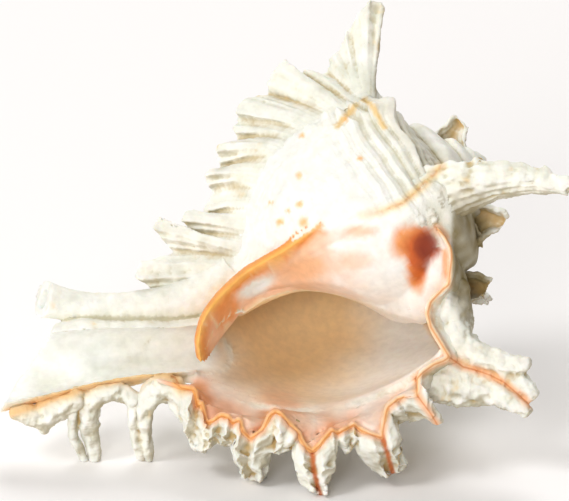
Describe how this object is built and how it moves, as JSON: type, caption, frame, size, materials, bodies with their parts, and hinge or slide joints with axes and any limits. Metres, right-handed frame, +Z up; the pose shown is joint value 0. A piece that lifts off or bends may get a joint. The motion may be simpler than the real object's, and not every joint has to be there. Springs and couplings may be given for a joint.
{
  "type": "murex shell",
  "caption": "Ramose murex shell lying on its frond tips, with coiled whorls, rows of hollow fronds on its old lips, a flared ruffled mouth and an open canal.",
  "frame": {"origin": "centre of the shell's bounding box in X and Y, on the floor that it rests on", "axes": "+X towards the spire, along the longest side; -Y out of the mouth, towards the viewer; +Z up from the floor"},
  "size_m": [0.1981, 0.1183, 0.1509],
  "materials": {
    "shell": "chalky cream outside, satin glazed and orange-edged round the mouth"
  },
  "bodies": {
    "root": {"murex_shell": "shell"}
  },
  "joints": []
}
